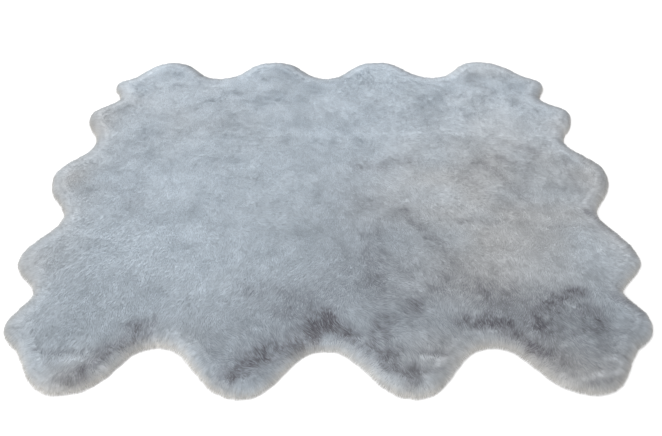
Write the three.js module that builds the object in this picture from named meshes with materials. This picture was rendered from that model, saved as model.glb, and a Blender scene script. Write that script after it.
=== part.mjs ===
// Faux fur rug, laid flat: one cut piece of knitted ground cloth with a dense pile.
// Millimetres, +Z up. X runs along the width, -Y is the front edge, and the origin is the
// middle of the flat underside. The pile hangs over the cut edge, so the solid is the whole
// fur body: a lumpy slab with a rounded rim, and locks standing out all round that rim.

import * as THREE from 'three'
import { ConvexHull } from 'three/addons/math/ConvexHull.js'

// Driving sizes
const RUG_WIDTH = 1800 // over the pile of the side lobes
const RUG_DEPTH = 1500 // over the pile of the front and back lobes
const PILE_HEIGHT = 29 // from the floor to the top of the leaning pile
const RIM_ROLL = 34 // how far in from the tips the rounded rim reaches
const RIM_STEPS = 4 // rings between the floor and the top of the rim
const LOCKS = 290 // locks of fur round the rim
const LOCK_SHARES = [0.6, 1.4] // a lock's width beside the mean one
const LOCK_GROOVE = [2.5, 8] // from a lock's ridge down to the groove beside it
const LOCK_LEAN = 11 // how far a lock's top lies to one side of its tip
const TIP_WANDER = 2.5 // how far the tips stray from the smooth line
const TOP_SPACING = 30 // between the points of the top
const TOP_CLEARANCE = 14 // those points stay this far inside the rim
const TOP_UNEVENNESS = 4 // how far they stray from an even lattice
const CURVE_STEPS = 24 // points on each half lobe before the rim is spaced out
const LEVEL_REACH = 9 // how far to each side the cut line's direction is taken over
const SOFT_LUMPS = 170 // small unevenness of the whole top
const LUMP_LENGTH = [60, 150]
const LUMP_WIDTHS = [0.4, 0.7] // beside its length
const LUMP_RISE = [-2.9, 3.3]
const LEAN_WAVES = [5, 13, 22] // waves round the whole rim
const WANDER_WAVES = [3, 7, 11, 19, 31]
const SEED = 7

// The lobes, counter-clockwise from the front left. Each has its tip and the valley after it.
// Fullness is how flat the tip is, and notch how flat that valley is, as shares of the way
// between the two.
const LOBES = [
  { side: 'front', tip: [-626, -733], valley: [-424, -610], fullness: 0.62, notch: 0.46 },
  { side: 'front', tip: [-211, -746], valley: [-12, -619], fullness: 0.51, notch: 0.46 },
  { side: 'front', tip: [198, -747], valley: [390, -614], fullness: 0.51, notch: 0.47 },
  { side: 'front', tip: [618, -739], valley: [751, -624], fullness: 0.6, notch: 0.36 },
  { side: 'right', tip: [816, -549], valley: [779, -448], fullness: 0.51, notch: 0.3 },
  { side: 'right', tip: [870, -338], valley: [810, -156], fullness: 0.42, notch: 0.27 },
  { side: 'right', tip: [901, 25], valley: [814, 187], fullness: 0.49, notch: 0.35 },
  { side: 'right', tip: [883, 363], valley: [799, 459], fullness: 0.46, notch: 0.33 },
  { side: 'right', tip: [837, 562], valley: [776, 618], fullness: 0.46, notch: 0.25 },
  { side: 'back', tip: [610, 739], valley: [410, 615], fullness: 0.62, notch: 0.49 },
  { side: 'back', tip: [195, 737], valley: [-10, 616], fullness: 0.6, notch: 0.43 },
  { side: 'back', tip: [-219, 741], valley: [-432, 620], fullness: 0.57, notch: 0.47 },
  { side: 'back', tip: [-642, 747], valley: [-778, 628], fullness: 0.6, notch: 0.25 },
  { side: 'left', tip: [-835, 579], valley: [-800, 469], fullness: 0.5, notch: 0.4 },
  { side: 'left', tip: [-876, 376], valley: [-809, 194], fullness: 0.48, notch: 0.4 },
  { side: 'left', tip: [-896, 27], valley: [-804, -161], fullness: 0.51, notch: 0.34 },
  { side: 'left', tip: [-874, -326], valley: [-791, -441], fullness: 0.43, notch: 0.32 },
  { side: 'left', tip: [-825, -547], valley: [-766, -617], fullness: 0.48, notch: 0.25 },
]

// Soft troughs where the pile lies pressed or parted, and the creases of its packing.
// Path points are on the rug, spread is the half width, and depth goes down from the top.
const TROUGHS = [
  { name: 'front lobe 1', path: [[-552, -660], [-497, -604], [-440, -546]], spread: 30, depth: 5 },
  { name: 'front lobe 2', path: [[-262, -702], [-161, -635], [-10, -540]], spread: 38, depth: 7 },
  { name: 'front lobe 3', path: [[20, -588], [132, -670], [212, -712]], spread: 40, depth: 6 },
  { name: 'front valley 3', path: [[345, -552], [427, -557], [501, -561]], spread: 30, depth: 5 },
  { name: 'front lobe 4', path: [[501, -561], [520, -641], [562, -690]], spread: 28, depth: 5 },
  { name: 'right front', path: [[545, -480], [610, -452], [690, -470]], spread: 52, depth: 6 },
  { name: 'right middle', path: [[405, -180], [600, -205], [765, -213]], spread: 26, depth: 3 },
  { name: 'middle', path: [[60, -300], [142, -112], [300, -40]], spread: 60, depth: 4 },
  { name: 'third from the back', path: [[-63, 221], [801, 210]], spread: 26, depth: 2.5 },
  { name: 'third from the front', path: [[-817, -249], [-398, -253]], spread: 26, depth: 2.5 },
  { name: 'halfway fold', path: [[-37, 438], [-32, -120], [-27, -608]], spread: 24, depth: 2 },
]

// Broad plump places. Long and wide are half sizes, and turn is in degrees.
const SWELLS = [
  { name: 'front lobe 1', at: [-640, -600], long: 120, wide: 90, turn: 35, rise: 3 },
  { name: 'front lobe 2', at: [-190, -560], long: 120, wide: 60, turn: 30, rise: 3.5 },
  { name: 'front lobe 3', at: [210, -600], long: 110, wide: 70, turn: -30, rise: 3.5 },
  { name: 'front lobe 4', at: [640, -610], long: 100, wide: 80, turn: -20, rise: 3 },
  { name: 'right diagonal', at: [520, -330], long: 240, wide: 60, turn: 32, rise: 3.5 },
  { name: 'right back', at: [420, 120], long: 200, wide: 90, turn: -25, rise: 3 },
  { name: 'left middle', at: [-560, 60], long: 190, wide: 120, turn: 15, rise: 2.5 },
  { name: 'back middle', at: [-120, 470], long: 260, wide: 110, turn: 5, rise: 2 },
]

// A repeatable stream of numbers from 0 to 1
function numberStream(seed) {
  let state = seed
  return () => {
    state = (state + 0x6d2b79f5) | 0
    let mixed = Math.imul(state ^ (state >>> 15), 1 | state)
    mixed = (mixed + Math.imul(mixed ^ (mixed >>> 7), 61 | mixed)) ^ mixed
    return ((mixed ^ (mixed >>> 14)) >>> 0) / 4294967296
  }
}

const random = numberStream(SEED)
const between = ([low, high]) => low + (high - low) * random()
const vector = ([x, y]) => new THREE.Vector2(x, y)

// The smooth cut line: two Bezier curves for each lobe, level with the chord at its tip and
// at both valleys.
function cutLine() {
  const lobe = (i) => LOBES[(i + LOBES.length) % LOBES.length]
  const levelAtTip = (i) => vector(lobe(i).valley).sub(vector(lobe(i - 1).valley)).normalize()
  const levelAtValley = (i) => vector(lobe(i + 1).tip).sub(vector(lobe(i).tip)).normalize()
  const path = new THREE.CurvePath()
  const addHalf = (from, fromLevel, fromShare, to, toLevel, toShare, reach) => {
    const leaving = from.clone().addScaledVector(fromLevel, reach * fromShare)
    const arriving = to.clone().addScaledVector(toLevel, -reach * toShare)
    path.add(new THREE.CubicBezierCurve(from, leaving, arriving, to))
  }
  LOBES.forEach((row, i) => {
    const before = vector(lobe(i - 1).valley)
    const tip = vector(row.tip)
    const after = vector(row.valley)
    const level = levelAtTip(i)
    const rising = tip.clone().sub(before).dot(level)
    const falling = after.clone().sub(tip).dot(level)
    addHalf(before, levelAtValley(i - 1), lobe(i - 1).notch, tip, level, row.fullness, rising)
    addHalf(tip, level, row.fullness, after, levelAtValley(i), row.notch, falling)
  })
  return path
}

// The cut line as close points, with the length run up to each
function measuredLine() {
  const points = []
  for (const curve of cutLine().curves) {
    for (let step = 0; step < CURVE_STEPS; step++) points.push(curve.getPoint(step / CURVE_STEPS))
  }
  const runs = [0]
  points.forEach((point, i) => {
    runs.push(runs[i] + point.distanceTo(points[(i + 1) % points.length]))
  })
  return { points, runs, length: runs.at(-1) }
}

const line = measuredLine()

// The place at a distance along the cut line, and the place further in from there
function placeAt(distance) {
  const target = ((distance % line.length) + line.length) % line.length
  const next = line.runs.findIndex((run) => run > target)
  const share = (target - line.runs[next - 1]) / (line.runs[next] - line.runs[next - 1])
  return line.points[next - 1].clone().lerp(line.points[next % line.points.length], share)
}

function insetPlace(distance, inset) {
  const along = placeAt(distance + LEVEL_REACH).sub(placeAt(distance - LEVEL_REACH)).normalize()
  return placeAt(distance).addScaledVector(new THREE.Vector2(-along.y, along.x), inset)
}

// Height of the top over the floor
function pathDistance(x, y, path) {
  let nearest = Infinity
  for (let i = 0; i + 1 < path.length; i++) {
    const [startX, startY] = path[i]
    const [endX, endY] = path[i + 1]
    const runX = endX - startX
    const runY = endY - startY
    const share = ((x - startX) * runX + (y - startY) * runY) / (runX * runX + runY * runY)
    const held = Math.min(1, Math.max(0, share))
    nearest = Math.min(nearest, Math.hypot(x - startX - held * runX, y - startY - held * runY))
  }
  return nearest
}

function oval(x, y, { at, long, wide, turn }) {
  const angle = THREE.MathUtils.degToRad(turn)
  const offsetX = x - at[0]
  const offsetY = y - at[1]
  const along = (offsetX * Math.cos(angle) + offsetY * Math.sin(angle)) / long
  const across = (offsetY * Math.cos(angle) - offsetX * Math.sin(angle)) / wide
  return Math.exp(-(along * along + across * across))
}

const softLumps = Array.from({ length: SOFT_LUMPS }, () => {
  const long = between(LUMP_LENGTH)
  return {
    at: [between([-RUG_WIDTH / 2, RUG_WIDTH / 2]), between([-RUG_DEPTH / 2, RUG_DEPTH / 2])],
    long,
    wide: long * between(LUMP_WIDTHS),
    turn: between([-90, 90]),
    rise: between(LUMP_RISE),
  }
})

function topHeight(x, y) {
  let height = PILE_HEIGHT
  for (const lump of softLumps) height += lump.rise * oval(x, y, lump)
  for (const swell of SWELLS) height += swell.rise * oval(x, y, swell)
  for (const { path, spread, depth } of TROUGHS) {
    const away = pathDistance(x, y, path) / spread
    height -= depth * Math.exp(-away * away)
  }
  return height
}

// Slow waves round the rim, from -1 to 1
function wavesRound(counts) {
  const waves = counts.map((count) => ({ count, start: between([0, 2 * Math.PI]) }))
  return (distance) => {
    const turn = (distance / line.length) * 2 * Math.PI
    return waves.reduce((sum, { count, start }) => sum + Math.sin(count * turn + start), 0) / waves.length
  }
}

// The rim's points: a ridge and a groove for each lock of fur
function rimPoints() {
  const widths = Array.from({ length: LOCKS }, () => between(LOCK_SHARES))
  const fit = line.length / widths.reduce((sum, width) => sum + width)
  const lean = wavesRound(LEAN_WAVES)
  const wander = wavesRound(WANDER_WAVES)
  const points = []
  let start = 0
  for (const width of widths) {
    points.push({ distance: start, groove: between(LOCK_GROOVE) })
    points.push({ distance: start + (width * fit) / 2, groove: 0 })
    start += width * fit
  }
  return points.map(({ distance, groove }) => ({
    distance,
    lean: LOCK_LEAN * lean(distance),
    depth: groove + TIP_WANDER * wander(distance),
  }))
}

// Triangles between scattered points. Lifted onto a bowl, the points' hull has on its
// underside the triangles whose circles hold no other point.
function joinPoints(points) {
  const bowl = points.map(({ x, y }, index) => {
    const lifted = new THREE.Vector3(x, y, (x * x + y * y) / RUG_WIDTH)
    lifted.index = index
    return lifted
  })
  const hull = new ConvexHull().setFromPoints(bowl)
  return hull.faces
    .filter(({ normal }) => normal.z < 0)
    .map(({ edge }) => [edge.next, edge, edge.prev].map(({ vertex }) => vertex.point.index))
}

function isInside(x, y, loop) {
  let inside = false
  loop.forEach((here, i) => {
    const before = loop[(i + loop.length - 1) % loop.length]
    if (here.y > y === before.y > y) return
    const crossing = here.x + ((y - here.y) * (before.x - here.x)) / (before.y - here.y)
    if (x < crossing) inside = !inside
  })
  return inside
}

// Staggered points inside a loop
function topPoints(loop) {
  const rowPitch = TOP_SPACING * Math.sin(Math.PI / 3)
  const rows = Math.ceil(RUG_DEPTH / rowPitch)
  const columns = Math.ceil(RUG_WIDTH / TOP_SPACING)
  const stray = () => between([-TOP_UNEVENNESS, TOP_UNEVENNESS])
  const points = []
  for (let row = 0; row <= rows; row++) {
    for (let column = 0; column <= columns; column++) {
      const x = (column - columns / 2 + (row % 2) / 2) * TOP_SPACING + stray()
      const y = (row - rows / 2) * rowPitch + stray()
      const clear = loop.every((point) => Math.hypot(point.x - x, point.y - y) > TOP_CLEARANCE)
      if (clear && isInside(x, y, loop)) points.push(new THREE.Vector2(x, y))
    }
  }
  return points
}

// The solid: rings up the rim, the top inside them and the flat underside
function furBody() {
  const vertices = []
  const triangles = []
  const addVertex = (x, y, z) => vertices.push([x, y, z]) - 1

  const rim = rimPoints()
  const crests = rim.map(({ distance, lean }) => insetPlace(distance + lean, RIM_ROLL))
  const rings = []
  for (let step = 0; step <= RIM_STEPS; step++) {
    const angle = ((step / RIM_STEPS) * Math.PI) / 2
    const roll = RIM_ROLL * (1 - Math.cos(angle))
    const ring = rim.map(({ distance, lean, depth }, i) => {
      const along = distance + (lean * step) / RIM_STEPS
      const place = insetPlace(along, roll + depth * Math.cos(angle))
      return addVertex(place.x, place.y, topHeight(crests[i].x, crests[i].y) * Math.sin(angle))
    })
    rings.push(ring)
  }
  for (let step = 0; step < RIM_STEPS; step++) {
    const [low, high] = [rings[step], rings[step + 1]]
    rim.forEach((_, i) => {
      const next = (i + 1) % rim.length
      triangles.push([low[i], low[next], high[next]], [low[i], high[next], high[i]])
    })
  }

  const inner = topPoints(crests)
  const innerVertices = inner.map(({ x, y }) => addVertex(x, y, topHeight(x, y)))
  const places = [...crests, ...inner]
  const numbers = [...rings[RIM_STEPS], ...innerVertices]
  for (const corners of joinPoints(places)) {
    const middle = corners.reduce((sum, i) => sum.add(places[i]), new THREE.Vector2())
    middle.divideScalar(corners.length)
    if (isInside(middle.x, middle.y, crests)) triangles.push(corners.map((i) => numbers[i]))
  }

  const floorLine = rings[0].map((index) => {
    const [x, y] = vertices[index]
    return new THREE.Vector2(x, y)
  })
  for (const [a, b, c] of THREE.ShapeUtils.triangulateShape(floorLine, [])) {
    triangles.push([rings[0][a], rings[0][c], rings[0][b]])
  }
  return { vertices, triangles }
}

function asGeometry({ vertices, triangles }) {
  const geometry = new THREE.BufferGeometry()
  geometry.setAttribute('position', new THREE.Float32BufferAttribute(vertices.flat(), 3))
  geometry.setIndex(triangles.flat())
  geometry.computeBoundingBox()
  const size = geometry.boundingBox.getSize(new THREE.Vector3())
  const middle = geometry.boundingBox.getCenter(new THREE.Vector3())
  geometry.translate(-middle.x, -middle.y, 0)
  geometry.scale(RUG_WIDTH / size.x, RUG_DEPTH / size.y, 1)
  geometry.computeVertexNormals()
  return geometry
}

const furMaterial = new THREE.MeshStandardMaterial({ color: 0xa4abb2, roughness: 0.95, metalness: 0 })
const furRug = new THREE.Mesh(asGeometry(furBody()), furMaterial)
furRug.name = 'fur_rug'

const rug = new THREE.Group()
rug.add(furRug)

export default rug
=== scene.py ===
import math

import bmesh
import bpy
import numpy as np
from mathutils import Euler, Matrix, Vector
from mathutils.bvhtree import BVHTree
from mathutils.geometry import delaunay_2d_cdt


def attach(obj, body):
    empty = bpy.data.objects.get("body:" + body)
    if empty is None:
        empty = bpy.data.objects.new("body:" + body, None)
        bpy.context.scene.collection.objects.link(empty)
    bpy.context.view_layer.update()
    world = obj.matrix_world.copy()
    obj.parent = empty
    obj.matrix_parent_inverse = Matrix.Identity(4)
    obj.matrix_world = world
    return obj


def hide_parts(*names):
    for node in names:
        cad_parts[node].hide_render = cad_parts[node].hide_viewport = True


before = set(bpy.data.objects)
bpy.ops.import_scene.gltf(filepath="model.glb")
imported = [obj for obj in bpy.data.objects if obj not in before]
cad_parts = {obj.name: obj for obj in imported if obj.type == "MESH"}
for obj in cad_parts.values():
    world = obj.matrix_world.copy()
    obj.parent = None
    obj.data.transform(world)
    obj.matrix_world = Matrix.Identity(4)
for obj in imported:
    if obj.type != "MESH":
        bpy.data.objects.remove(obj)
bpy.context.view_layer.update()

# Camera. It stands in front of the rug's long side and looks steeply down at its middle, as
# the photograph does, with a slightly wide lens. Places are in metres.
PHOTO_WIDTH_PX = 662
FOCAL_PX = 571.0
SENSOR_WIDTH_MM = 36.0
CAMERA_HEIGHT = 1.2193
CAMERA_BACK = 1.3823
CAMERA_SIDE = 0.003
CAMERA_PITCH = math.radians(44.80)
CAMERA_ROLL = -0.0058

scene = bpy.context.scene
camera_data = bpy.data.cameras.new("camera")
camera_data.sensor_width = SENSOR_WIDTH_MM
camera_data.lens = FOCAL_PX / PHOTO_WIDTH_PX * SENSOR_WIDTH_MM
camera = bpy.data.objects.new("camera", camera_data)
tilt = Euler((math.pi / 2 - CAMERA_PITCH, 0, 0)).to_matrix() @ Matrix.Rotation(CAMERA_ROLL, 3, "Z")
camera.matrix_world = Matrix.Translation((CAMERA_SIDE, -CAMERA_BACK, CAMERA_HEIGHT)) @ tilt.to_4x4()
scene.collection.objects.link(camera)
scene.camera = camera
scene.view_settings.view_transform = "Standard"


# Floor and light. A plain white floor under a large soft lamp at the front left, a weaker one
# overhead and a pale sky all round that fills the shadows.
FLOOR_HALF = 30.0
FLOOR_WHITE = "#F7F7F7"


def linear(hex_colour):
    """An sRGB hex colour as linear RGBA, fully opaque."""
    values = [int(hex_colour[i : i + 2], 16) / 255 for i in (1, 3, 5)]
    curve = [v / 12.92 if v <= 0.04045 else ((v + 0.055) / 1.055) ** 2.4 for v in values]
    return (*curve, 1.0)


def new_mesh(name, points, faces):
    """A smooth-shaded mesh object in the rug's own frame, from points and triangles."""
    mesh = bpy.data.meshes.new(name)
    mesh.vertices.add(len(points))
    mesh.vertices.foreach_set("co", np.asarray(points, dtype=np.float32).ravel())
    mesh.loops.add(len(faces) * 3)
    mesh.loops.foreach_set("vertex_index", np.asarray(faces, dtype=np.int32).ravel())
    mesh.polygons.add(len(faces))
    mesh.polygons.foreach_set("loop_start", np.arange(0, len(faces) * 3, 3, dtype=np.int32))
    mesh.update(calc_edges=True)
    mesh.validate()
    mesh.shade_smooth()
    piece = bpy.data.objects.new(name, mesh)
    scene.collection.objects.link(piece)
    return piece


def new_material(name):
    """A material with no nodes in it yet."""
    material = bpy.data.materials.new(name)
    material.use_nodes = True
    material.node_tree.nodes.clear()
    return material


def add_node(material, kind, settings=(), **inputs):
    """Adds a node. An input is a value, or an output to link from.

    An input's name has _ for each space, or is i and its number where names are alike.
    """
    node = material.node_tree.nodes.new("ShaderNode" + kind)
    for name, value in dict(settings).items():
        setattr(node, name, value)
    for name, value in inputs.items():
        key = int(name[1:]) if name[0] == "i" and name[1:].isdigit() else name.replace("_", " ")
        if isinstance(value, bpy.types.NodeSocket):
            material.node_tree.links.new(value, node.inputs[key])
        else:
            node.inputs[key].default_value = value
    return node


floor = new_mesh(
    "floor",
    [(x * FLOOR_HALF, y * FLOOR_HALF, 0) for x, y in ((-1, -1), (1, -1), (1, 1), (-1, 1))],
    [(0, 1, 2), (0, 2, 3)],
)
floor_paint = new_material("matt_floor_paint")
shader = add_node(floor_paint, "BsdfPrincipled", Base_Color=linear(FLOOR_WHITE), Roughness=0.9)
add_node(floor_paint, "OutputMaterial", Surface=shader.outputs["BSDF"])
floor.data.materials.append(floor_paint)

LAMPS = [
    # name, place, width, height, watts
    ("soft_front_left", (-2.0, -2.6, 2.2), 2.4, 1.8, 62),
    ("soft_overhead", (0.0, 0.8, 3.0), 2.6, 2.0, 24),
]
for name, place, width, height, watts in LAMPS:
    lamp = bpy.data.lights.new(name, "AREA")
    lamp.shape = "RECTANGLE"
    lamp.size, lamp.size_y, lamp.energy = width, height, watts
    lamp_object = bpy.data.objects.new(name, lamp)
    lamp_object.location = place
    lamp_object.rotation_euler = (-Vector(place)).to_track_quat("-Z", "Y").to_euler()
    scene.collection.objects.link(lamp_object)

SKY_STRENGTH = 1.0
sky = bpy.data.worlds.new("studio_sky")
sky.use_nodes = True
sky.node_tree.nodes["Background"].inputs["Color"].default_value = (1, 1, 1, 1)
sky.node_tree.nodes["Background"].inputs["Strength"].default_value = SKY_STRENGTH
scene.world = sky


# Ground cloth: the knitted polyester base that the pile is locked into, cut to the lobes. It
# lies flat under the pile. Its edge is the solid's own floor line, smoothed past the locks
# and drawn in by as much as the pile hangs over it.
FUR_NODE = "fur_rug"
FLOOR_TOUCH = 1e-4
SAME_CORNER = 1e-5
LINE_STEP = 0.005
LINE_SMOOTH = 0.009
CLOTH_INSET = 0.0085
CLOTH_THICK = 0.0018
CLOTH_SPACING = 0.022
CLOTH_STRAY = 0.1
CLOTH_LINE_EVERY = 2
DRAWS_SEED = 11


def floor_line(node):
    """The ring of points where a CAD solid meets the floor, counter-clockwise from above."""
    solid = bmesh.new()
    solid.from_mesh(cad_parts[node].data)
    bmesh.ops.transform(solid, matrix=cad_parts[node].matrix_world, verts=solid.verts)
    bmesh.ops.remove_doubles(solid, verts=solid.verts, dist=SAME_CORNER)
    solid.normal_update()
    under = [all(v.co.z < FLOOR_TOUCH for v in face.verts) for face in solid.faces]
    follow = {}
    for edge in solid.edges:
        sides = [under[face.index] for face in edge.link_faces]
        if sides.count(True) == 1:
            wall = next(face for face in edge.link_faces if not under[face.index])
            a, b = edge.verts
            order = [v.index for v in wall.verts]
            first = (order.index(a.index) + 1) % len(order) == order.index(b.index)
            follow[a.index if first else b.index] = b.index if first else a.index
    start = next(iter(follow))
    ring, here = [start], follow[start]
    while here != start:
        ring.append(here)
        here = follow[here]
    solid.verts.ensure_lookup_table()
    points = np.array([solid.verts[i].co[:2] for i in ring])
    solid.free()
    return points


def spaced(ring, step):
    """A closed ring of points, evenly spaced."""
    closed = np.vstack([ring, ring[:1]])
    runs = np.append(0, np.cumsum(np.hypot(*np.diff(closed, axis=0).T)))
    places = np.arange(0, runs[-1], runs[-1] / round(runs[-1] / step))
    return np.stack([np.interp(places, runs, closed[:, i]) for i in (0, 1)], axis=1)


def smoothed_ring(ring, step, reach):
    """A ring whose points are averaged over reach to each side along it."""
    waves = np.fft.fft(ring[:, 0] + 1j * ring[:, 1])
    waves_per_metre = np.fft.fftfreq(len(ring), step)
    waves *= np.exp(-2 * (math.pi * waves_per_metre * reach) ** 2)
    ring = np.fft.ifft(waves)
    return np.stack([ring.real, ring.imag], axis=1)


def outward(ring):
    """Unit directions out of a counter-clockwise ring."""
    along = np.roll(ring, -1, axis=0) - np.roll(ring, 1, axis=0)
    along /= np.linalg.norm(along, axis=1)[:, None]
    return np.stack([along[:, 1], -along[:, 0]], axis=1)


cut_line = spaced(floor_line(FUR_NODE), LINE_STEP)
cut_line = smoothed_ring(cut_line, LINE_STEP, LINE_SMOOTH)
line_outward = outward(cut_line)

# Distance to the cut line and the way out to it, kept on a fine grid of the floor. The grid
# is worked out a batch of points at a time, to spare memory.
MAP_STEP = 0.006
MAP_MARGIN = 0.03
MAP_BATCH = 2000
map_low = cut_line.min(axis=0) - MAP_MARGIN
map_size = np.ceil((cut_line.max(axis=0) + MAP_MARGIN - map_low) / MAP_STEP).astype(int) + 1
# Just short of the last grid line, so that each point has a next one
map_end = map_size - 1.001


def inside(points, ring):
    """Whether each point lies inside a ring."""
    odd = np.zeros(len(points), bool)
    for (ax, ay), (bx, by) in zip(ring, np.roll(ring, -1, axis=0)):
        if ay != by:
            crosses = (points[:, 1] < ay) != (points[:, 1] < by)
            odd ^= crosses & (points[:, 0] < ax + (points[:, 1] - ay) * (bx - ax) / (by - ay))
    return odd


def make_edge_map():
    """Grids of the distance in from the cut line, negative outside, and the way out."""
    x = map_low[0] + MAP_STEP * np.arange(map_size[0])
    y = map_low[1] + MAP_STEP * np.arange(map_size[1])
    points = np.stack(np.meshgrid(x, y, indexing="ij"), axis=-1).reshape(-1, 2)
    nearest = np.empty(len(points), int)
    for start in range(0, len(points), MAP_BATCH):
        gap = points[start : start + MAP_BATCH, None] - cut_line[None]
        nearest[start : start + MAP_BATCH] = np.einsum("ijk,ijk->ij", gap, gap).argmin(axis=1)
    away = np.linalg.norm(points - cut_line[nearest], axis=1)
    away = np.where(inside(points, cut_line), away, -away)
    return away.reshape(map_size), line_outward[nearest].reshape(*map_size, 2)


def between_corners(corner, px, py):
    """A value inside a grid cell, linear between the values at its four corners."""
    low = corner(0, 0) * (1 - px) + corner(1, 0) * px
    high = corner(0, 1) * (1 - px) + corner(1, 1) * px
    return low * (1 - py) + high * py


def read_map(grid, points):
    """A grid's values at points, linear between its cells."""
    spot = np.clip((points - map_low) / MAP_STEP, 0, map_end)
    cell = spot.astype(int)
    x, y = cell.T
    px, py = (spot - cell).T
    if grid.ndim == 3:
        px, py = px[:, None], py[:, None]
    return between_corners(lambda i, j: grid[x + i, y + j], px, py)


away_map, outward_map = make_edge_map()


def edge_distance(points):
    """How far in from the cut line each point lies, negative outside it."""
    return read_map(away_map, points)


def lattice(ring, spacing, clearance, stray, draws):
    """Staggered points inside a ring, clearance inside it and strayed by a random share."""
    low, high = ring.min(axis=0), ring.max(axis=0)
    rise = spacing * math.sin(math.pi / 3)
    rows = np.arange(low[1], high[1], rise)
    columns = np.arange(low[0], high[0] + spacing, spacing)
    x, y = np.meshgrid(columns, rows)
    x[1::2] += spacing / 2
    points = np.stack([x.ravel(), y.ravel()], axis=1)
    points += draws.uniform(-stray, stray, points.shape) * spacing
    return points[edge_distance(points) > clearance]


INSIDE_ONLY = 1
SAME_POINT = 1e-6


def filled(ring, inner):
    """Triangles over the points inside a ring and the ring itself, which comes first."""
    points = np.vstack([ring, inner])
    rim = [(i, (i + 1) % len(ring)) for i in range(len(ring))]
    found = delaunay_2d_cdt([Vector(p) for p in points], rim, [], INSIDE_ONLY, SAME_POINT)
    triangles, origins = found[2], found[3]
    numbers = np.array([origin[0] for origin in origins])
    return numbers[np.array(triangles)]


def wall_between(low, high, size):
    """Triangles between two rings of that many points, which start at numbers low and high."""
    here = np.arange(size)
    after = np.roll(here, -1)
    return np.vstack([
        np.column_stack([low + here, low + after, high + after]),
        np.column_stack([low + here, high + after, high + here]),
    ])


draws = np.random.default_rng(DRAWS_SEED)
cloth_line = cut_line[::CLOTH_LINE_EVERY] - line_outward[::CLOTH_LINE_EVERY] * CLOTH_INSET
cloth_clearance = CLOTH_INSET + CLOTH_SPACING / 2
cloth_inner = lattice(cloth_line, CLOTH_SPACING, cloth_clearance, CLOTH_STRAY, draws)
cloth_face = filled(cloth_line, cloth_inner)
cloth_flat = np.vstack([cloth_line, cloth_inner])
cloth_count = len(cloth_flat)
under_points = np.column_stack([cloth_flat, np.zeros(cloth_count)])
over_points = np.column_stack([cloth_flat, np.full(cloth_count, CLOTH_THICK)])
cloth_walls = wall_between(0, cloth_count, len(cloth_line))
ground_cloth = new_mesh(
    "ground_cloth",
    np.vstack([under_points, over_points]),
    np.vstack([cloth_face[:, ::-1], cloth_face + cloth_count, cloth_walls]),
)

# Warp-knitted polyester backing, brushed and heat set: matt greige, with ribs that run from
# front to back. Real ones are 2.5 mm apart, and these are three times as wide so that they
# show. A wave texture repeats every 2 pi / 20 at a scale of 1.
RIB_PITCH = 0.0075
FUZZ_PER_METRE = 260.0
KNIT_GREIGE = "#B9B4AC"
KNIT_SHADE = "#918C85"
knit = new_material("warp_knitted_polyester")
place = add_node(knit, "TexCoord")
ribs = add_node(
    knit,
    "TexWave",
    {"wave_type": "BANDS", "bands_direction": "X"},
    Vector=place.outputs["Object"],
    Scale=2 * math.pi / (20 * RIB_PITCH),
    Distortion=1.2,
    Detail=2.0,
)
fuzz = add_node(
    knit, "TexNoise", Vector=place.outputs["Object"], Scale=FUZZ_PER_METRE, Detail=3.0
)
blend = add_node(
    knit, "Math", {"operation": "MULTIPLY"}, i0=ribs.outputs["Fac"], i1=fuzz.outputs["Fac"]
)
colours = add_node(
    knit,
    "Mix",
    {"data_type": "RGBA"},
    Factor=blend.outputs[0],
    A=linear(KNIT_SHADE),
    B=linear(KNIT_GREIGE),
)
relief = add_node(knit, "Bump", Height=blend.outputs[0], Strength=0.6, Distance=0.001)
shader = add_node(
    knit,
    "BsdfPrincipled",
    Base_Color=colours.outputs["Result"],
    Roughness=0.95,
    Normal=relief.outputs[0],
)
add_node(knit, "OutputMaterial", Surface=shader.outputs["BSDF"])
ground_cloth.data.materials.append(knit)
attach(ground_cloth, "root")


# Pile bed: the dense lower part of the pile, where the fibres stand too close to tell apart.
# It fills the solid's lumps and troughs up to the depth that shows between the locks, and
# rolls down at the rim. It is knitted into the ground cloth and lies on it.
RIM_ROLL = 0.034
BED_SHARE = 0.8
BED_INSET = 0.008
BED_ROLL = 0.024
BED_RINGS = 5
BED_SPACING = 0.009
BED_STRAY = 0.15
BED_GAP = 0.0003
# Bump size, height and seed
BED_TUFTS = [(0.014, 0.0010, 3)]

HEIGHT_REACH = 0.010
FAR_REACH = 6 * HEIGHT_REACH
ENOUGH_KNOWN = 0.1
LEAST_SHARE = 1e-6
RAY_START = 1.0

pile_solid = BVHTree.FromObject(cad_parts[FUR_NODE], bpy.context.evaluated_depsgraph_get())


def blurred(grid, reach):
    """A grid averaged over reach, in metres, along both of its ways."""
    step = max(1, round(reach / MAP_STEP))
    side = 2 * step
    weights = np.exp(-0.5 * (np.arange(-side, side + 1) / step) ** 2)
    weights /= weights.sum()
    for axis in (0, 1):
        margin = [(side, side) if i == axis else (0, 0) for i in (0, 1)]
        padded = np.pad(grid, margin, "edge")
        grid = np.apply_along_axis(lambda row: np.convolve(row, weights, "valid"), axis, padded)
    return grid


def known_average(heights, known, reach):
    """The mean of the known heights within reach, and the share that is known there."""
    share = blurred(known.astype(float), reach)
    return blurred(heights, reach) / np.maximum(share, LEAST_SHARE), share


def make_height_map():
    """The top of the pile over the floor, from the solid, carried on past its rim."""
    known = away_map > RIM_ROLL
    heights = np.zeros(map_size)
    for x, y in np.argwhere(known):
        spot = map_low + MAP_STEP * np.array([x, y])
        hit = pile_solid.ray_cast(Vector((*spot, RAY_START)), Vector((0, 0, -1)))
        heights[x, y] = hit[0].z
    near, share = known_average(heights, known, HEIGHT_REACH)
    far, _ = known_average(heights, known, FAR_REACH)
    return np.where(share > ENOUGH_KNOWN, near, far)


NOISE_KNOTS = (97, 89)
# Far enough along that no point falls before the first knot
NOISE_START = 1000.0


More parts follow.
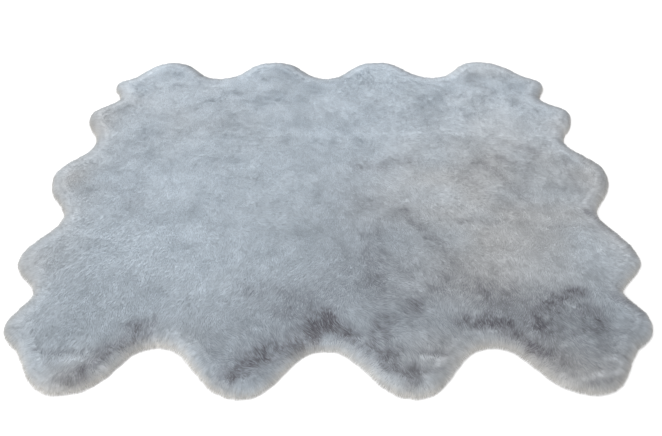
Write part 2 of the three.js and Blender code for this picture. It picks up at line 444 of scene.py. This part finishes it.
def soft_noise(points, size, seed):
    """Smooth noise from -1 to 1 over the floor, with bumps of that size in metres."""
    knots = np.random.default_rng(seed).uniform(-1, 1, NOISE_KNOTS)
    spot = points / size + NOISE_START
    cell = np.floor(spot).astype(int)
    part = spot - cell
    part = part * part * (3 - 2 * part)
    x, y = cell.T
    px, py = part.T
    across, along = NOISE_KNOTS
    return between_corners(lambda i, j: knots[(x + i) % across, (y + j) % along], px, py)


def layered_noise(points, layers, middle=0):
    """Soft noise around a middle value, in layers of bump size in metres, strength and seed."""
    noises = (strength * soft_noise(points, size, seed) for size, strength, seed in layers)
    return sum(noises, middle)


def stray_noise(points, size, seeds):
    """Soft noise for x and y, as a way to stray, from two seeds."""
    return np.stack([soft_noise(points, size, seed) for seed in seeds], axis=1)


height_map = make_height_map()

bed_line = spaced(cut_line, BED_SPACING)
bed_out = outward(bed_line)
bed_floor = CLOTH_THICK + BED_GAP
bed_rings = []
for step in range(BED_RINGS):
    angle = step / (BED_RINGS - 1) * math.pi / 2
    flat = bed_line - bed_out * (BED_INSET + BED_ROLL * (1 - math.cos(angle)))
    crest = read_map(height_map, flat) * BED_SHARE - bed_floor
    bed_rings.append(np.column_stack([flat, bed_floor + crest * math.sin(angle)]))
bed_clearance = BED_INSET + BED_ROLL + BED_SPACING / 2
bed_inner = lattice(cut_line, BED_SPACING, bed_clearance, BED_STRAY, draws)
bed_top = filled(bed_rings[-1][:, :2], bed_inner)
bed_height = read_map(height_map, bed_inner) * BED_SHARE + layered_noise(bed_inner, BED_TUFTS)
ring_size = len(bed_line)
ring_starts = [step * ring_size for step in range(BED_RINGS)]
bed_walls = [
    wall_between(low, high, ring_size) for low, high in zip(ring_starts[:-1], ring_starts[1:])
]
bed_under = filled(bed_rings[0][:, :2], np.empty((0, 2)))
bed_points = np.vstack([*bed_rings, np.column_stack([bed_inner, bed_height])])
pile_bed = new_mesh(
    "pile_bed",
    bed_points,
    np.vstack([bed_under[:, ::-1], *bed_walls, bed_top + ring_starts[-1]]),
)

# Colour of the pile. Each point of the bed and the locks keeps five values for the material:
# tone with painted shade, painted shade marks, pale, warm and painted light. First the marks
# of painted shade where the nap turns and parts: paths are in millimetres on the rug, spread
# is the half width, and shade is how much darker the shade is painted there.
PAINTED_SHADE_MARKS = [
    # name, spread, shade, path
    ("front lobe 1", 25, 0.85, [(-600, -715), (-546, -657), (-509, -616), (-465, -568)]),
    ("front lobe 1 end", 18, 0.6, [(-500, -560), (-455, -548)]),
    ("front lobe 1 wrinkle", 7, 0.5, [(-719, -629), (-646, -640), (-561, -632)]),
    ("front lobe 2", 33, 0.97, [(-238, -696), (-189, -676), (-133, -633), (-74, -611), (-13, -553)]),
    ("front lobe 2, all over", 90, 0.2, [(-230, -620), (-100, -540)]),
    ("front valley 2", 30, 0.85, [(-13, -553), (36, -583), (88, -626), (134, -648)]),
    ("front lobe 3", 26, 0.75, [(146, -554), (121, -592), (157, -662), (194, -714)]),
    ("front lobe 3 blotch", 20, 0.6, [(205, -525), (226, -496)]),
    ("front lobe 3 wrinkle", 7, 0.5, [(205, -646), (245, -650), (285, -645)]),
    ("front lobe 3 lower wrinkle", 8, 0.35, [(180, -690), (225, -694), (270, -684)]),
    ("front valley 3", 22, 0.9, [(337, -547), (373, -556), (436, -553), (471, -586), (492, -629)]),
    ("front lobe 4, lower", 28, 0.7, [(500, -650), (545, -672)]),
    ("front lobe 4, middle", 32, 0.95, [(525, -550), (575, -500)]),
    ("front lobe 4, upper", 19, 0.9, [(600, -470), (650, -466)]),
    ("front lobe 4, right", 24, 0.5, [(645, -530), (680, -560)]),
    ("front lobe 4 streak", 9, 0.4, [(558, -565), (601, -589), (669, -583)]),
    ("front lobe 4, all over", 120, 0.42, [(480, -540), (640, -570)]),
    ("front lobe 4 wrinkle", 7, 0.6, [(580, -724), (630, -721), (690, -704)]),
    ("front right notch", 10, 0.5, [(744, -481), (767, -489), (790, -513), (802, -540)]),
    ("front of the warm place", 44, 0.4, [(395, -470), (450, -465)]),
    ("front, all over", 170, 0.12, [(-260, -600), (250, -560), (700, -540)]),
    ("front of the middle", 120, 0.24, [(0, -480), (100, -350), (200, -500)]),
    ("middle, all over", 150, 0.18, [(60, -100), (120, -350)]),
    ("left of the middle", 46, 0.35, [(-225, -450), (-100, -500)]),
    ("middle", 44, 0.28, [(120, -250), (150, -350), (100, -450)]),
    ("middle arc", 34, 0.3, [(300, -280), (350, -380), (290, -440)]),
    ("middle arc streak", 10, 0.25, [(354, -403), (353, -473)]),
    ("warm place streak", 13, 0.3, [(397, -431), (411, -506)]),
    ("middle streak", 38, 0.28, [(100, -110), (163, -173)]),
    ("middle right", 30, 0.46, [(100, 60), (165, 52), (215, 78), (262, 84)]),
    ("middle right bend", 20, 0.5, [(215, -150), (250, -200), (292, -265)]),
    ("right line", 10, 0.42, [(380, -196), (430, -190), (470, -206), (520, -198)]),
    ("right line, far end", 9, 0.24, [(560, -204), (640, -222), (690, -214), (800, -230)]),
    ("right blotch 1", 26, 0.32, [(470, 40), (505, 85)]),
    ("right blotch 2", 20, 0.42, [(560, 92), (590, 66)]),
    ("right blotch 3", 24, 0.32, [(650, 142), (700, 122)]),
    ("right streak 1", 20, 0.3, [(500, 60), (545, -20), (600, -110)]),
    ("right streak 2", 22, 0.3, [(690, 130), (655, 50), (600, -60)]),
    ("right streak 3", 24, 0.24, [(420, 20), (480, -60), (560, -150)]),
    ("right lobe line", 12, 0.4, [(772, 90), (768, 0), (778, -70)]),
    ("right notch", 12, 0.55, [(770, -160), (828, -228)]),
    ("back right corner", 22, 0.22, [(560, 560), (620, 480)]),
    ("left", 50, 0.16, [(-650, -30), (-580, -140)]),
]

# Painted light: lines and places painted paler, as painted sheen along the creases and
# folds and as painted light over the wider places. Lift is how much paler.
PAINTED_LIGHT_LINES = [
    # name, spread, lift, path
    ("far crease", 7, 0.16, [(-20, 231), (180, 224), (348, 228), (560, 214), (794, 210)]),
    ("near crease", 12, 0.10, [(-800, -240), (-560, -262), (-380, -250)]),
    ("right lobe fold", 11, 0.32, [(776, 140), (818, 60), (836, 3), (840, -45)]),
    ("front lobe 1 wrinkle", 7, 0.4, [(-650, -664), (-604, -658), (-552, -662), (-528, -674)]),
    ("front lobe 3 wrinkle", 6, 0.35, [(218, -661), (248, -658), (277, -662)]),
    ("front lobe 4 wrinkle", 6, 0.45, [(585, -714), (621, -710), (652, -704), (686, -696)]),
    ("front lobe 4 arc", 7, 0.3, [(557, -631), (607, -609), (641, -623)]),
    ("front lobe 4 curl", 5, 0.5, [(656, -667), (679, -661), (692, -674), (674, -691)]),
    ("front lobe 4 swirl", 6, 0.45, [(580, -486), (603, -496), (628, -520), (634, -543)]),
    ("front lobe 3, inside", 26, 0.14, [(161, -591), (232, -595)]),
    ("front valley 1 parting", 5, 0.45, [(-447, -559), (-436, -597), (-420, -617)]),
    ("front of the warm place", 70, 0.22, [(800, -260), (620, -330), (470, -400)]),
    ("back right, all over", 150, 0.34, [(420, 600), (640, 380)]),
    ("back left corner", 90, 0.25, [(-800, 640), (-740, 520)]),
    ("left of the middle", 130, 0.1, [(-450, -80), (-350, -420)]),
    ("back left, all over", 150, 0.2, [(-700, 620), (-350, 500)]),
    ("left, all over", 170, 0.12, [(-700, 200), (-450, 150)]),
]

# Where the grey is warmer. Long and wide are half sizes in millimetres, turn in degrees.
WARM_PLACES = [
    # name, share, place, long, wide, turn
    ("right middle", 0.9, (510, -60), 370, 260, 10),
    ("right front", 0.65, (480, -400), 280, 150, 20),
    ("back right", 0.28, (560, 350), 240, 180, -10),
    ("back right corner", 0.45, (640, 660), 220, 120, 0),
    ("back left", 0.28, (-520, 380), 420, 300, 0),
    ("front left lobe", 0.8, (-560, -700), 200, 70, 20),
    ("front right lobes", 0.95, (480, -690), 330, 90, 0),
    ("left edge", 0.75, (-880, 0), 800, 130, 90),
    ("right edge", 0.6, (870, -50), 700, 90, 90),
]

# Millimetres to the metre
MM = 1000
# The marks' edges stray: bump size, reach, and seeds for x and y. A mark with at least the
# spread of FULL_STRAY millimetres strays by all of it, and a finer one by less.
MARK_STRAY = [(0.04, 0.012, (24, 25)), (0.011, 0.007, (26, 27))]
FULL_STRAY = 20
# And their depth is ragged: bump size, strength, seed
MARK_RAGGED = [(0.035, 0.3, 21), (0.013, 0.4, 22), (0.006, 0.35, 23)]
RAGGED_LEAST = 0.25
RAGGED_MOST = 1.4

# Painted shade along the rims that look back and right, and in a band just inside the rims
# that look forward, where the pile breaks over them
SHADED_RIM = np.array([0.64, 0.77])
SHADED_REACH = 0.036
RIM_SHADE = 0.66
FRONT_SHADE_IN = 0.045
FRONT_SHADE_REACH = 0.02
FRONT_SHADE = 0.08


def nearness(points, path, spread):
    """How near each point is to a path, from 1 on it to 0 far off. Path and spread are in mm."""
    nearest = np.full(len(points), np.inf)
    for start, end in zip(path[:-1], path[1:]):
        start, end = np.array(start) / MM, np.array(end) / MM
        run = end - start
        share = np.clip((points - start) @ run / (run @ run), 0, 1)
        nearest = np.minimum(nearest, np.linalg.norm(points - start - share[:, None] * run, axis=1))
    return np.exp(-((nearest / (spread / MM)) ** 2))


def mark_shade(points):
    """How dark the painted shade is at each point, from 0 to 1, broken up by the tufts."""
    stray = sum(reach * stray_noise(points, size, seeds) for size, reach, seeds in MARK_STRAY)
    ragged = np.clip(layered_noise(points, MARK_RAGGED, middle=1), RAGGED_LEAST, RAGGED_MOST)
    light = np.ones(len(points))
    for name, spread, shade, path in PAINTED_SHADE_MARKS:
        strayed = points + stray * min(1, spread / FULL_STRAY)
        light *= 1 - shade * nearness(strayed, path, spread) * ragged / RAGGED_MOST
    way_out = read_map(outward_map, points)
    facing_back = np.clip(way_out @ SHADED_RIM, 0, 1)
    facing_front = np.clip(-way_out[:, 1], 0, 1)
    way_in = edge_distance(points)
    at_rim = np.exp(-((np.clip(way_in, 0, None) / SHADED_REACH) ** 2))
    front_band = np.exp(-(((way_in - FRONT_SHADE_IN) / FRONT_SHADE_REACH) ** 2))
    light *= 1 - RIM_SHADE * facing_back * at_rim
    return 1 - light * (1 - FRONT_SHADE * facing_front * front_band)


WARM_UNEVEN = [(0.09, 0.35, 51)]


def warm_share(points):
    """How much of the warmer grey shows at each point."""
    total = np.zeros(len(points))
    for name, share, place, long, wide, turn in WARM_PLACES:
        gap = points - np.array(place) / MM
        angle = math.radians(turn)
        along = (gap[:, 0] * math.cos(angle) + gap[:, 1] * math.sin(angle)) / (long / MM)
        across = (gap[:, 1] * math.cos(angle) - gap[:, 0] * math.sin(angle)) / (wide / MM)
        total += share * np.exp(-(along**2 + across**2))
    return np.clip(total * layered_noise(points, WARM_UNEVEN, middle=1), 0, 1)


PALE_CURVE = 1.3
PALE_UNEVEN = [(0.06, 0.25, 52)]


def pale_root_and_floor_light(tips):
    """How pale the pile is: undyed roots and painted light from the floor, over the rim."""
    low = np.clip(1 - tips[:, 2] / read_map(height_map, tips[:, :2]), 0, 1)
    return low**PALE_CURVE * layered_noise(tips[:, :2], PALE_UNEVEN, middle=1)


# The painted light goes up towards the back, by so much a metre, and less so at the rims. It
# falls at the sides, mostly at the rim, from so far out and over the width of the fade.
LIFT_MIDDLE = 0.57
LIFT_SLOPE = 0.75
LIFT_MOST = 1.4
LIFT_RIM_REACH = 0.045
BACK_RIM_LOSS = 1.2
FRONT_RIM_LOSS = 0.5
SIDE_EDGE = 0.62
SIDE_FADE = 0.2
LEFT_FALL = 0.01
LEFT_RIM_FALL = 0.38
RIGHT_RIM_FALL = 0.12
LIFT_UNEVEN = [(0.16, 0.06, 53)]


def back_lift(points):
    """How much lighter the pile is painted, as painted light: more towards the back and left."""
    x, y = points.T
    at_rim = 1 - np.clip(edge_distance(points) / LIFT_RIM_REACH, 0, 1)
    rim_loss = np.where(y > 0, BACK_RIM_LOSS, FRONT_RIM_LOSS)
    lift = LIFT_MIDDLE + LIFT_SLOPE * y * (1 - rim_loss * at_rim)
    lift -= (LEFT_FALL + LEFT_RIM_FALL * at_rim) * np.clip((-x - SIDE_EDGE) / SIDE_FADE, 0, 1)
    lift -= RIGHT_RIM_FALL * at_rim * np.clip((x - SIDE_EDGE) / SIDE_FADE, 0, 1)
    for name, spread, more, path in PAINTED_LIGHT_LINES:
        lift += more * nearness(points, path, spread)
    return np.clip(lift + layered_noise(points, LIFT_UNEVEN), 0, LIFT_MOST)


MAP_BORDER = 0.02


def lay_flat_map(piece, flat):
    """A UV map seen from above, one for the whole rug, so that a baked colour stays even."""
    low, high = cut_line.min(axis=0), cut_line.max(axis=0)
    spread = MAP_BORDER + (1 - 2 * MAP_BORDER) * (flat - low) / (high - low).max()
    corners = np.empty(len(piece.data.loops), dtype=np.int32)
    piece.data.loops.foreach_get("vertex_index", corners)
    layer = piece.data.uv_layers.new(name="OFBake")
    layer.data.foreach_set("uv", spread[corners].astype(np.float32).ravel())


def set_values(piece, **values):
    """Keeps a value for each point of a piece, for its material to read."""
    for title, numbers in values.items():
        attribute = piece.data.attributes.new(title, "FLOAT", "POINT")
        attribute.data.foreach_set("value", numbers.astype(np.float32))


# The bed takes the locks' colours, darker, as it lies in their shade. Its map leans by a
# hair with height, by so much a metre.
BED_TONE = -2.4
BED_PALE = 0.6
MAP_LEAN = 0.0003
bed_flat = bed_points[:, :2]
lay_flat_map(pile_bed, bed_flat + MAP_LEAN * (bed_points[:, 2:] - bed_floor))
# The bed's values: painted shade in its tone and marks, pale roots with painted light from the
# floor, the warm grey and the painted light towards the back
set_values(
    pile_bed,
    tone=np.full(len(bed_flat), BED_TONE),
    mark=mark_shade(bed_flat),
    pale=BED_PALE * pale_root_and_floor_light(bed_points / (1, 1, BED_SHARE)),
    warm=warm_share(bed_flat),
    lift=back_lift(bed_flat),
)

# Crimped polyester pile, tip dyed: blue-grey at the tip and almost white at the root, with
# the low sheen of matt fibre. The kept values lay in the warmer places, the painted shade of
# the marks and rims, the pale rim with painted light from the floor, and the painted light
# towards the back, and the whole drifts a little over a hand's width.
FUR_TIP = "#BFCAD4"
FUR_WARM = "#C2C4C6"
FUR_PAINTED_SHADE = "#66656D"
FUR_ROOT_AND_FLOOR_LIGHT = "#D8D5D0"
# How far the tone, which carries painted shade on the bed and rim, and the painted light move the
# brightness
LOCK_TONE = 0.085
PAINTED_LIGHT_RANGE = 0.26
DRIFT = 0.025
DRIFT_PER_METRE = 7.0
# Where most of a noise texture's values lie
NOISE_LOW = 0.3
NOISE_HIGH = 0.7

fur = new_material("tip_dyed_polyester_pile")
kept = {
    name: add_node(fur, "Attribute", {"attribute_name": name}).outputs["Fac"]
    for name in ("tone", "mark", "pale", "warm", "lift")
}
colour = linear(FUR_TIP)
# The warm grey, the painted shade and the pale roots with painted light from the floor, mixed over
# the tip colour in turn
for name, shade in (("warm", FUR_WARM), ("mark", FUR_PAINTED_SHADE), ("pale", FUR_ROOT_AND_FLOOR_LIGHT)):
    mixed = add_node(
        fur, "Mix", {"data_type": "RGBA"}, Factor=kept[name], A=colour, B=linear(shade)
    )
    colour = mixed.outputs["Result"]

place = add_node(fur, "TexCoord")
drift = add_node(
    fur, "TexNoise", Vector=place.outputs["Object"], Scale=DRIFT_PER_METRE, Detail=3.0
)
drifted = add_node(
    fur,
    "MapRange",
    Value=drift.outputs["Fac"],
    From_Min=NOISE_LOW,
    From_Max=NOISE_HIGH,
    To_Min=1 - DRIFT,
    To_Max=1 + DRIFT,
)
brightness = drifted.outputs["Result"]
# The tone with its painted shade, and the painted light towards the back, scale the brightness
for name, least, most, share in (("tone", -1.0, 1.0, LOCK_TONE), ("lift", 0.0, 1.0, PAINTED_LIGHT_RANGE)):
    ranged = add_node(
        fur,
        "MapRange",
        {"clamp": False},
        Value=kept[name],
        From_Min=least,
        From_Max=most,
        To_Min=1 - share,
        To_Max=1 + share,
    )
    product = add_node(
        fur, "Math", {"operation": "MULTIPLY"}, i0=brightness, i1=ranged.outputs["Result"]
    )
    brightness = product.outputs["Value"]
toned = add_node(fur, "VectorMath", {"operation": "SCALE"}, i0=colour, Scale=brightness)
shader = add_node(
    fur,
    "BsdfPrincipled",
    Base_Color=toned.outputs["Vector"],
    Roughness=0.9,
    Sheen_Weight=0.06,
    Sheen_Roughness=0.5,
)
add_node(fur, "OutputMaterial", Surface=shader.outputs["BSDF"])


def finish_pile(piece):
    """Gives a piece of pile its material and its place in the model."""
    piece.data.materials.append(fur)
    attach(piece, "root")
    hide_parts(FUR_NODE)


finish_pile(pile_bed)


# Top pile: soft locks of crimped polyester fibre, tapering to a point. They lean with the
# nap, gather in tufts, lie in swirls and turn a little where the painted shade marks lie. Four
# pieces, one for each quarter of the rug, because of their number.
LOCK_SPACING = 0.0039
LOCK_STRAY = 0.35
LOCK_INSET = 0.030
LOCK_WIDTH = 0.0040
WIDTH_RANGE = (0.8, 1.25)
LOCK_SINK = 0.002
TIP_RANGE = (-0.0012, 0.0008)
LOWEST_TIP = 0.002
# Locks near the rim lie lower: by all of this up to one roll in from the cut line, and by
# none from two rolls in
EDGE_SINK = 0.0018
SINK_ROLLS = 2
FACING_GAP = 0.006


def pile_top(points):
    """Height of the pile's top over the floor, rounded off at the rim."""
    rolled = 1 - np.clip(edge_distance(points) / RIM_ROLL, 0, 1)
    return read_map(height_map, points) * np.sqrt(1 - rolled**2)


def pile_facing(points):
    """The way the pile's face looks at each point of its top."""
    east, north = np.array([FACING_GAP, 0]), np.array([0, FACING_GAP])
    slope = [pile_top(points + way) - pile_top(points - way) for way in (east, north)]
    facing = np.column_stack([-slope[0], -slope[1], np.full(len(points), 2 * FACING_GAP)])
    return facing / np.linalg.norm(facing, axis=1)[:, None]


# How ruffled the pile is, at the middle of the rug and for each metre forward and right
RUFFLED_MIDDLE = 0.45
RUFFLED_FORWARD = 0.9
RUFFLED_RIGHT = 0.45


def ruffled_share(points):
    """How ruffled the pile is: most at the front right, and calm at the back left."""
    x, y = points.T
    return np.clip(RUFFLED_MIDDLE - RUFFLED_FORWARD * y + RUFFLED_RIGHT * x, 0, 1)


NAP_LEAN = 0.016
NAP_HEADING = math.radians(-80)
# Bump size, turn in radians or share of the lean, and seed
NAP_TURNS = [(0.21, 0.8, 5), (0.07, 0.5, 6), (0.025, 0.4, 7)]
NAP_UNEVEN = [(0.05, 0.35, 8)]
NAP_CALM = 0.35
# The locks turn a little where the painted shade marks lie
MARK_TURN = 0.3
OUTWARD_LEAN = 0.014
OUTWARD_REACH = 0.06
OUTWARD_GAIN = 1.3


def nap(points):
    """The way the pile leans at each point, as a flat offset of its tips in metres."""
    turn = layered_noise(points, NAP_TURNS)
    turn *= NAP_CALM + (1 - NAP_CALM) * ruffled_share(points)
    turn += MARK_TURN * mark_shade(points)
    angle = NAP_HEADING + turn
    reach = NAP_LEAN * layered_noise(points, NAP_UNEVEN, middle=1)
    flat = np.stack([np.cos(angle), np.sin(angle)], axis=1) * reach[:, None]
    edge = np.clip(OUTWARD_GAIN * (1 - edge_distance(points) / OUTWARD_REACH), 0, 1)[:, None]
    return flat * (1 - edge) + read_map(outward_map, points) * OUTWARD_LEAN * edge


TUFT_SIZE = 0.012
TUFT_PULL = 0.17
TUFT_STRAY = 0.6
TUFT_SEEDS = (31, 32)
# Bump size, rise or strength, and seed
TUFT_RISE = [(TUFT_SIZE, 0.0005, 33)]
TUFT_TONES = [(0.007, 0.8, 61), (0.016, 0.9, 62), (0.038, 0.85, 63)]
TONE_CALM = 0.6


def tufted(points, tips):
    """Tips drawn together towards the nearest of the strayed tuft centres."""
    stray = TUFT_STRAY * stray_noise(points, TUFT_SIZE, TUFT_SEEDS)
    centre = (np.round(points / TUFT_SIZE + stray) - stray) * TUFT_SIZE
    return tips + TUFT_PULL * (centre - points)


def tuft_tone(points):
    """How much lighter or darker the tufts and the patches of tufts are, around zero."""
    ruffled = TONE_CALM + (1 - TONE_CALM) * ruffled_share(points)
    return layered_noise(points, TUFT_TONES) * ruffled


def each_level(at_root, at_tip):
    """A value for each point of each lock: three at its root and one at its tip."""
    return np.stack([at_root, at_root, at_root, at_tip], axis=1).ravel()


LOCK_SIDES = 3
LOCK_FACES = [(0, 2, 1), (0, 1, 3), (1, 2, 3), (2, 0, 3)]
FACE_SHARE = 0.72
# How much of the painted shade of a mark a lock takes
MARK_RANGE = (0.65, 1.3)
# A direction that no lock lies along, from which the ring round its root is set out
RING_FROM = (0.13, 0.21, 0.97)


def new_locks(name, roots, tips, facing, width, draws, uneven=1.0, painted_darkening=0.0):
    """Closed three-sided locks, a base and a point each, shaded as part of the pile's face."""
    lean = tips - roots
    lean /= np.linalg.norm(lean, axis=1)[:, None]
    aside = np.cross(lean, RING_FROM)
    aside /= np.linalg.norm(aside, axis=1)[:, None]
    third = np.cross(lean, aside)
    spin = draws.uniform(0, 2 * math.pi, len(roots))
    points, normals, flat = [], [], []
    for corner in range(LOCK_SIDES):
        angle = spin + corner * 2 * math.pi / LOCK_SIDES
        ring = aside * np.cos(angle)[:, None] + third * np.sin(angle)[:, None]
        points.append(roots + ring * (width / 2)[:, None])
        normals.append(facing * FACE_SHARE + ring * (1 - FACE_SHARE))
        way = np.column_stack([np.cos(angle), np.sin(angle)])
        flat.append(roots[:, :2] + way * (width / 2)[:, None])
    points.append(tips)
    normals.append(facing)
    flat.append(tips[:, :2])
    each = len(points)
    vertices = np.stack(points, axis=1).reshape(-1, 3)
    normals = np.stack(normals, axis=1).reshape(-1, 3)
    normals /= np.linalg.norm(normals, axis=1)[:, None]
    starts = np.arange(len(roots)) * each
    faces = (starts[:, None, None] + np.array(LOCK_FACES)[None]).reshape(-1, 3)
    piece = new_mesh(name, vertices, faces)
    piece.data.normals_split_custom_set_from_vertices(normals)
    lay_flat_map(piece, np.stack(flat, axis=1).reshape(-1, 2))
    low, high = roots[:, :2], tips[:, :2]
    # Each lock's own tone, less the painted shade that darkens the rim locks towards the crest
    tone = draws.uniform(-uneven, uneven, len(roots)) + tuft_tone(high) - painted_darkening
    share = draws.uniform(*MARK_RANGE, len(roots))
    # Painted shade of the marks, pale roots with painted light from the floor, the warm grey and the
    # painted light towards the back
    set_values(
        piece,
        tone=np.repeat(tone, each),
        mark=each_level(mark_shade(0.5 * (low + high)) * share, mark_shade(high) * share),
        pale=np.repeat(pale_root_and_floor_light(tips), each),
        warm=np.repeat(warm_share(high), each),
        lift=np.repeat(back_lift(high), each),
    )
    return piece


lock_places = lattice(cut_line, LOCK_SPACING, LOCK_INSET, LOCK_STRAY, draws)
lock_tips = tufted(lock_places, lock_places + nap(lock_places))
tip_height = pile_top(lock_tips) + draws.uniform(*TIP_RANGE, len(lock_tips))
tip_height += layered_noise(lock_tips, TUFT_RISE)
tip_height -= EDGE_SINK * np.clip(SINK_ROLLS - edge_distance(lock_tips) / RIM_ROLL, 0, 1)
root_height = read_map(height_map, lock_places) * BED_SHARE - LOCK_SINK
root_roll = 1 - np.clip((edge_distance(lock_places) - BED_INSET) / BED_ROLL, 0, 1)
root_height *= np.sqrt(1 - root_roll**2)
lock_roots = np.column_stack([lock_places, root_height])
lock_points = np.column_stack([lock_tips, np.maximum(tip_height, LOWEST_TIP)])
lock_widths = LOCK_WIDTH * draws.uniform(*WIDTH_RANGE, len(lock_places))
lock_facing = pile_facing(lock_tips)
# The side of the middle, in x and y, that each piece lies on
QUARTERS = {
    "pile_front_left": (-1, -1),
    "pile_front_right": (1, -1),
    "pile_back_left": (-1, 1),
    "pile_back_right": (1, 1),
}
for name, signs in QUARTERS.items():
    here = ((lock_places * signs) >= 0).all(axis=1)
    quarter = new_locks(
        name, lock_roots[here], lock_points[here], lock_facing[here], lock_widths[here], draws
    )
    finish_pile(quarter)


# Rim locks: the outermost locks, which fan over the cut edge and curl down to the floor.
# Each lies along the rounded rim, from its root up the roll to its tip further down.
RIM_LOCK_SPACING = 0.0033
RIM_LOCK_WIDTH = 0.0032
RIM_LOCK_LENGTH = 0.0145
LENGTH_RANGE = (0.8, 1.2)
RIM_ROWS = 20
ROW_RANGE = (-0.3, 0.9)
RIM_ROUND = 0.050
RIM_LOWEST = 0.0003
RIM_ROOT_DEPTH = 0.0058
RIM_OVERHANG = 0.0030
RIM_UNEVEN = 1.4
# Painted shade: the rim locks are darker towards the crest by this much tone
RIM_PAINTED_SHADE = 1.0
# Bump size, reach or depth in metres, and seed. The clumps move on from row to row.
RIM_SWEEP = [(0.05, 0.004, 41), (0.014, 0.0015, 42)]
RIM_RAGGED = [(0.02, 0.0008, 43)]
RIM_CLUMPS = [(0.011, 0.0007, 44)]
CLUMP_SHIFT = 0.004
RAGGED_TIPS = 0.0006

rim_line = spaced(cut_line, RIM_LOCK_SPACING)
rim_out = outward(rim_line)
rim_along = np.stack([-rim_out[:, 1], rim_out[:, 0]], axis=1)
rim_count = len(rim_line)
rim_sweep = layered_noise(rim_line, RIM_SWEEP)
rim_ragged = layered_noise(rim_line, RIM_RAGGED)


def on_rim(up, depth, aside):
    """Places so far up the rounded rim from the floor, under its face and aside along it."""
    angle = np.clip(up / RIM_ROUND, 0, 1) * math.pi / 2
    beyond = np.maximum(up - RIM_ROUND, 0)
    crest = read_map(height_map, rim_line - rim_out * (RIM_ROLL + beyond)[:, None])
    reach = depth + (RIM_ROLL - depth) * (1 - np.cos(angle)) + beyond
    flat = rim_line - rim_out * reach[:, None] + rim_along * aside[:, None]
    return np.column_stack([flat, (crest - depth) * np.sin(angle)])


rim_roots, rim_tips, rim_facing, rim_painted_shade = [], [], [], []
for row in range(RIM_ROWS):
    up = RIM_ROUND * (row + draws.uniform(*ROW_RANGE, rim_count)) / RIM_ROWS
    up = np.maximum(up, RIM_LOWEST)
    aside = draws.uniform(-0.5, 0.5, rim_count) * RIM_LOCK_SPACING
    ragged = rim_ragged + layered_noise(rim_line + CLUMP_SHIFT * row, RIM_CLUMPS)
    ragged += draws.uniform(-RAGGED_TIPS, RAGGED_TIPS, rim_count)
    length = RIM_LOCK_LENGTH * draws.uniform(*LENGTH_RANGE, rim_count)
    crest_share = np.clip(up / RIM_ROUND, 0, 1)
    tip_depth = ragged + EDGE_SINK * crest_share - RIM_OVERHANG * (1 - crest_share)
    rim_tips.append(on_rim(up, tip_depth, aside + rim_sweep))
    rim_roots.append(on_rim(up + length, ragged + RIM_ROOT_DEPTH, aside))
    angle = crest_share * math.pi / 2
    rim_facing.append(np.column_stack([rim_out * np.cos(angle)[:, None], np.sin(angle)]))
    # Painted shade, growing towards the crest
    rim_painted_shade.append(RIM_PAINTED_SHADE * crest_share)
rim_roots, rim_tips, rim_facing = (np.vstack(rows) for rows in (rim_roots, rim_tips, rim_facing))
rim_piece = new_locks(
    "rim_locks",
    rim_roots,
    rim_tips,
    rim_facing,
    RIM_LOCK_WIDTH * draws.uniform(*WIDTH_RANGE, len(rim_roots)),
    draws,
    uneven=RIM_UNEVEN,
    painted_darkening=np.concatenate(rim_painted_shade),
)
finish_pile(rim_piece)
